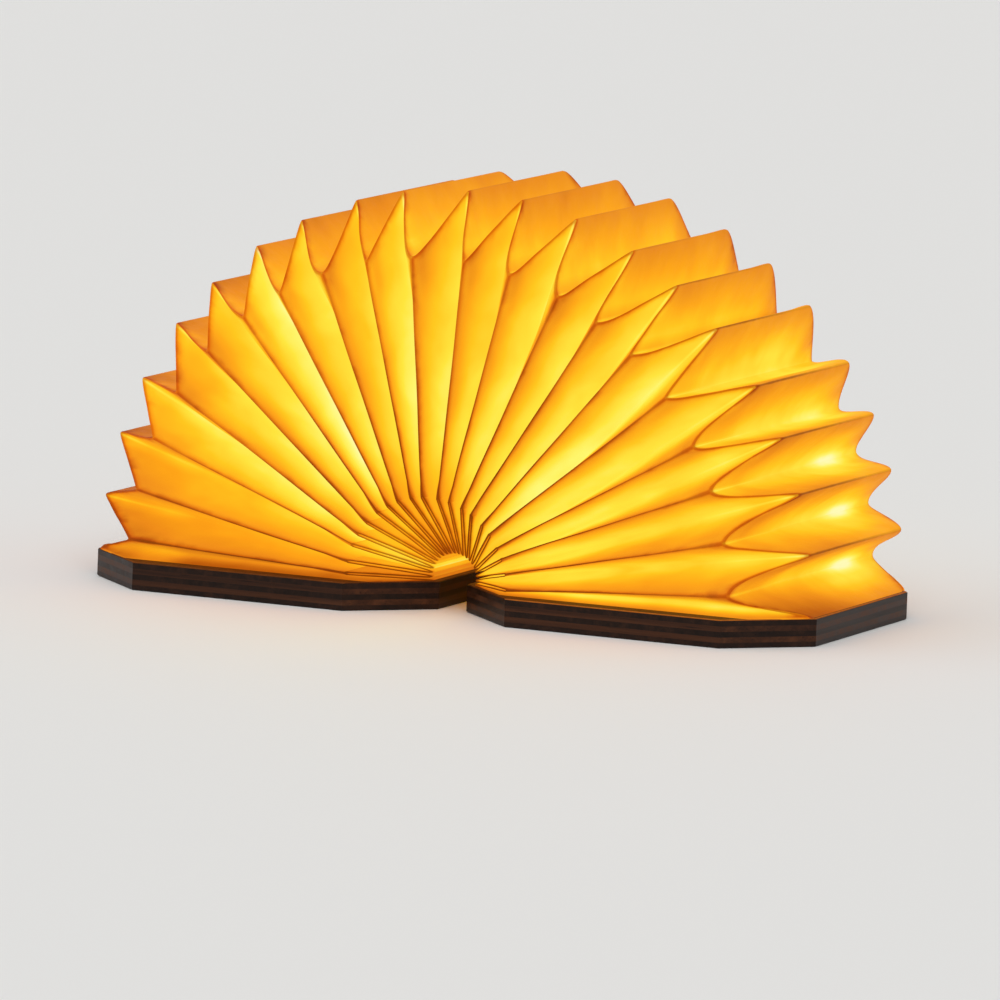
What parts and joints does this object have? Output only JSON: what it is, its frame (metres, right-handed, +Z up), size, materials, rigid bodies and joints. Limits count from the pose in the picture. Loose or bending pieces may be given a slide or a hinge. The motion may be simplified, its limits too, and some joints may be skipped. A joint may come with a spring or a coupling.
{
  "type": "folding book lamp",
  "caption": "Cordless lamp like a small octagonal book: wooden covers on a ring of pleated paper that opens into a glowing half circle and folds flat.",
  "frame": {"origin": "on the table, midway between the covers' spine edges and midway along the fold line", "axes": "+X from the fold line towards the right cover's fore-edge, +Y along the fold line to the rear, +Z up"},
  "size_m": [0.285, 0.14, 0.1535],
  "materials": {
    "wood_face": "oiled dark walnut, satin",
    "wood_core": "oiled dark walnut plies, edge grain",
    "shade_paper": "translucent fibrous paper lit from inside, satin",
    "magnet": "nickel plated",
    "diffuser": "opal, satin",
    "light_board": "white lacquered aluminium",
    "emitter": "phosphor coated, glossy",
    "lead": "insulated wire, satin",
    "battery_foil": "matte foil pouch",
    "circuit_board": "green solder mask",
    "component": "black moulded",
    "socket_steel": "plated steel"
  },
  "bodies": {
    "right_cover": {"right_outer_board": "wood_face", "right_core_ply_1": "wood_core", "right_core_ply_2": "wood_core", "right_core_ply_3": "wood_core", "right_inner_board": "wood_face", "right_paper_border": "shade_paper", "right_half_pleat": "shade_paper", "right_magnets": "magnet", "diffuser": "diffuser", "led_board": "light_board", "led_emitters": "emitter", "led_leads": "lead", "battery": "battery_foil", "battery_leads": "lead", "control_board": "circuit_board", "board_components": "component", "position_sensor": "component", "socket_shell": "socket_steel", "socket_tongue": "component"},
    "left_cover": {"left_outer_board": "wood_face", "left_core_ply_1": "wood_core", "left_core_ply_2": "wood_core", "left_core_ply_3": "wood_core", "left_inner_board": "wood_face", "left_paper_border": "shade_paper", "left_half_pleat": "shade_paper", "left_magnets": "magnet", "trigger_magnet": "magnet"},
    "pleat_01_fold": {"pleat_01": "shade_paper"},
    "pleat_02_fold": {"pleat_02": "shade_paper"},
    "pleat_03_fold": {"pleat_03": "shade_paper"},
    "pleat_04_fold": {"pleat_04": "shade_paper"},
    "pleat_05_fold": {"pleat_05": "shade_paper"},
    "pleat_06_fold": {"pleat_06": "shade_paper"},
    "pleat_07_fold": {"pleat_07": "shade_paper"},
    "pleat_08_fold": {"pleat_08": "shade_paper"},
    "pleat_09_fold": {"pleat_09": "shade_paper"},
    "pleat_10_fold": {"pleat_10": "shade_paper"},
    "pleat_11_fold": {"pleat_11": "shade_paper"},
    "pleat_12_fold": {"pleat_12": "shade_paper"},
    "pleat_13_fold": {"pleat_13": "shade_paper"},
    "pleat_14_fold": {"pleat_14": "shade_paper"},
    "pleat_15_fold": {"pleat_15": "shade_paper"},
    "pleat_16_fold": {"pleat_16": "shade_paper"},
    "pleat_17_fold": {"pleat_17": "shade_paper"},
    "pleat_18_fold": {"pleat_18": "shade_paper"},
    "pleat_19_fold": {"pleat_19": "shade_paper"}
  },
  "joints": [
    {"name": "fold", "type": "hinge", "parent": "right_cover", "child": "left_cover", "pos_m": [0, 0, 0.0125], "axis": [0, 1, 0], "range_deg": [0, 180], "deforming": ["right_half_pleat", "left_half_pleat"]},
    {"name": "pleat_01_turn", "type": "hinge", "parent": "right_cover", "child": "pleat_01_fold", "pos_m": [0, 0, 0.0125], "axis": [0, 1, 0], "range_deg": [0, 9], "deforming": ["pleat_01"]},
    {"name": "pleat_02_turn", "type": "hinge", "parent": "right_cover", "child": "pleat_02_fold", "pos_m": [0, 0, 0.0125], "axis": [0, 1, 0], "range_deg": [0, 18], "deforming": ["pleat_02"]},
    {"name": "pleat_03_turn", "type": "hinge", "parent": "right_cover", "child": "pleat_03_fold", "pos_m": [0, 0, 0.0125], "axis": [0, 1, 0], "range_deg": [0, 27], "deforming": ["pleat_03"]},
    {"name": "pleat_04_turn", "type": "hinge", "parent": "right_cover", "child": "pleat_04_fold", "pos_m": [0, 0, 0.0125], "axis": [0, 1, 0], "range_deg": [0, 36], "deforming": ["pleat_04"]},
    {"name": "pleat_05_turn", "type": "hinge", "parent": "right_cover", "child": "pleat_05_fold", "pos_m": [0, 0, 0.0125], "axis": [0, 1, 0], "range_deg": [0, 45], "deforming": ["pleat_05"]},
    {"name": "pleat_06_turn", "type": "hinge", "parent": "right_cover", "child": "pleat_06_fold", "pos_m": [0, 0, 0.0125], "axis": [0, 1, 0], "range_deg": [0, 54], "deforming": ["pleat_06"]},
    {"name": "pleat_07_turn", "type": "hinge", "parent": "right_cover", "child": "pleat_07_fold", "pos_m": [0, 0, 0.0125], "axis": [0, 1, 0], "range_deg": [0, 63], "deforming": ["pleat_07"]},
    {"name": "pleat_08_turn", "type": "hinge", "parent": "right_cover", "child": "pleat_08_fold", "pos_m": [0, 0, 0.0125], "axis": [0, 1, 0], "range_deg": [0, 72], "deforming": ["pleat_08"]},
    {"name": "pleat_09_turn", "type": "hinge", "parent": "right_cover", "child": "pleat_09_fold", "pos_m": [0, 0, 0.0125], "axis": [0, 1, 0], "range_deg": [0, 81], "deforming": ["pleat_09"]},
    {"name": "pleat_10_turn", "type": "hinge", "parent": "right_cover", "child": "pleat_10_fold", "pos_m": [0, 0, 0.0125], "axis": [0, 1, 0], "range_deg": [0, 90], "deforming": ["pleat_10"]},
    {"name": "pleat_11_turn", "type": "hinge", "parent": "right_cover", "child": "pleat_11_fold", "pos_m": [0, 0, 0.0125], "axis": [0, 1, 0], "range_deg": [0, 99], "deforming": ["pleat_11"]},
    {"name": "pleat_12_turn", "type": "hinge", "parent": "right_cover", "child": "pleat_12_fold", "pos_m": [0, 0, 0.0125], "axis": [0, 1, 0], "range_deg": [0, 108], "deforming": ["pleat_12"]},
    {"name": "pleat_13_turn", "type": "hinge", "parent": "right_cover", "child": "pleat_13_fold", "pos_m": [0, 0, 0.0125], "axis": [0, 1, 0], "range_deg": [0, 117], "deforming": ["pleat_13"]},
    {"name": "pleat_14_turn", "type": "hinge", "parent": "right_cover", "child": "pleat_14_fold", "pos_m": [0, 0, 0.0125], "axis": [0, 1, 0], "range_deg": [0, 126], "deforming": ["pleat_14"]},
    {"name": "pleat_15_turn", "type": "hinge", "parent": "right_cover", "child": "pleat_15_fold", "pos_m": [0, 0, 0.0125], "axis": [0, 1, 0], "range_deg": [0, 135], "deforming": ["pleat_15"]},
    {"name": "pleat_16_turn", "type": "hinge", "parent": "right_cover", "child": "pleat_16_fold", "pos_m": [0, 0, 0.0125], "axis": [0, 1, 0], "range_deg": [0, 144], "deforming": ["pleat_16"]},
    {"name": "pleat_17_turn", "type": "hinge", "parent": "right_cover", "child": "pleat_17_fold", "pos_m": [0, 0, 0.0125], "axis": [0, 1, 0], "range_deg": [0, 153], "deforming": ["pleat_17"]},
    {"name": "pleat_18_turn", "type": "hinge", "parent": "right_cover", "child": "pleat_18_fold", "pos_m": [0, 0, 0.0125], "axis": [0, 1, 0], "range_deg": [0, 162], "deforming": ["pleat_18"]},
    {"name": "pleat_19_turn", "type": "hinge", "parent": "right_cover", "child": "pleat_19_fold", "pos_m": [0, 0, 0.0125], "axis": [0, 1, 0], "range_deg": [0, 171], "deforming": ["pleat_19"]}
  ],
  "couplings": [
    {"joint": "pleat_01_turn", "follows": "fold", "ratio": 0.05},
    {"joint": "pleat_02_turn", "follows": "fold", "ratio": 0.1},
    {"joint": "pleat_03_turn", "follows": "fold", "ratio": 0.15},
    {"joint": "pleat_04_turn", "follows": "fold", "ratio": 0.2},
    {"joint": "pleat_05_turn", "follows": "fold", "ratio": 0.25},
    {"joint": "pleat_06_turn", "follows": "fold", "ratio": 0.3},
    {"joint": "pleat_07_turn", "follows": "fold", "ratio": 0.35},
    {"joint": "pleat_08_turn", "follows": "fold", "ratio": 0.4},
    {"joint": "pleat_09_turn", "follows": "fold", "ratio": 0.45},
    {"joint": "pleat_10_turn", "follows": "fold", "ratio": 0.5},
    {"joint": "pleat_11_turn", "follows": "fold", "ratio": 0.55},
    {"joint": "pleat_12_turn", "follows": "fold", "ratio": 0.6},
    {"joint": "pleat_13_turn", "follows": "fold", "ratio": 0.65},
    {"joint": "pleat_14_turn", "follows": "fold", "ratio": 0.7},
    {"joint": "pleat_15_turn", "follows": "fold", "ratio": 0.75},
    {"joint": "pleat_16_turn", "follows": "fold", "ratio": 0.8},
    {"joint": "pleat_17_turn", "follows": "fold", "ratio": 0.85},
    {"joint": "pleat_18_turn", "follows": "fold", "ratio": 0.9},
    {"joint": "pleat_19_turn", "follows": "fold", "ratio": 0.95}
  ]
}
